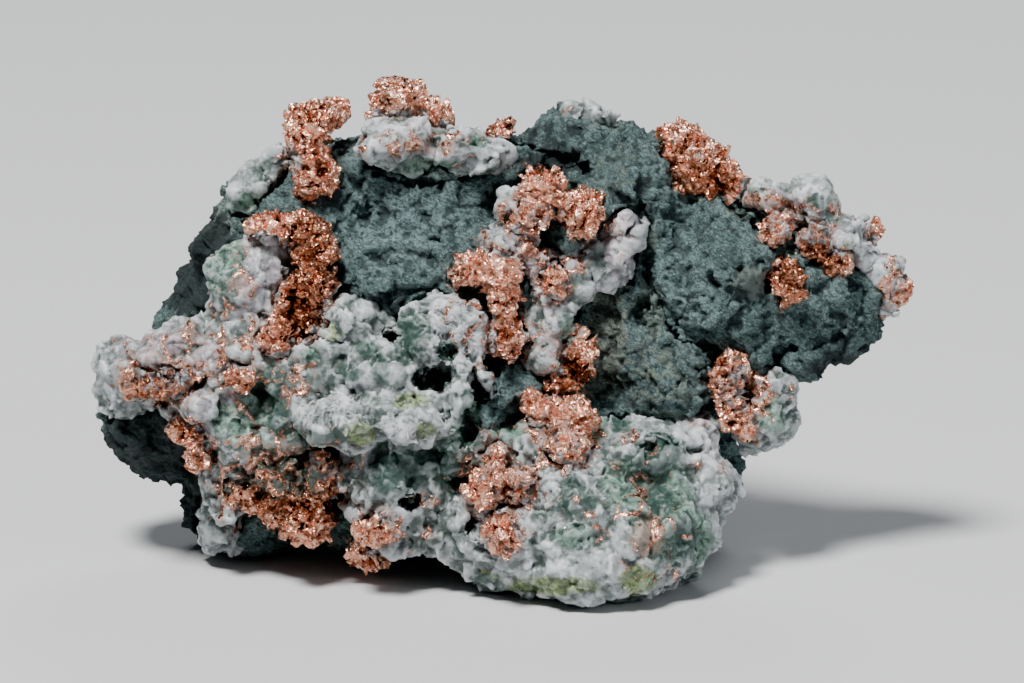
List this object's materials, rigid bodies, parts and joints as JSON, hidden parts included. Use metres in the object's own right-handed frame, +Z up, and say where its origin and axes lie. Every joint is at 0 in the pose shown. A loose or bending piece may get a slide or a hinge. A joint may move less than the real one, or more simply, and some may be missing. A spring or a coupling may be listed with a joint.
{
  "type": "native copper specimen in quartz and basalt matrix",
  "caption": "Loose hand specimen of native copper: hackly pink-brown copper masses on a white quartz crust, grown in a broken lump of green altered basalt, resting on its worn underside.",
  "frame": {"origin": "centre of the bounding box in plan, on the surface that the specimen stands on", "axes": "+X along its length, to the right as seen in the picture; +Y away from the viewer, through its thickness; +Z up"},
  "size_m": [0.1018, 0.0546, 0.06],
  "materials": {
    "host_rock": "dull, finely pitted and speckled",
    "quartz": "milky, waxy to glassy, stained pale green in places",
    "native_copper": "bright and hackly, brown in the recesses"
  },
  "bodies": {
    "root": {"copper_back_nugget": "native_copper", "copper_back_seam": "native_copper", "copper_column_arm": "native_copper", "copper_column_foot": "native_copper", "copper_column_knot": "native_copper", "copper_column_strip": "native_copper", "copper_column_top": "native_copper", "copper_left_face": "native_copper", "copper_left_wing": "native_copper", "copper_lobe_crown": "native_copper", "copper_lobe_left": "native_copper", "copper_lobe_low": "native_copper", "copper_low_edge": "native_copper", "copper_low_fleck": "native_copper", "copper_lower_left": "native_copper", "copper_right_slab": "native_copper", "copper_right_tip": "native_copper", "copper_top_knob": "native_copper", "copper_top_spur": "native_copper", "copper_under_plate": "native_copper", "copper_upper_left": "native_copper", "copper_vein_bud": "native_copper", "copper_vein_root": "native_copper", "copper_vein_streak": "native_copper", "copper_vesicle": "native_copper", "copper_wing_edge": "native_copper", "copper_wing_knot": "native_copper", "host_rock": "host_rock", "quartz_back_patch": "quartz", "quartz_column": "quartz", "quartz_crest_cap": "quartz", "quartz_crust": "quartz", "quartz_hanging_lump": "quartz", "quartz_right_vein": "quartz", "quartz_top_patch": "quartz", "quartz_upper_left": "quartz"}
  },
  "joints": []
}
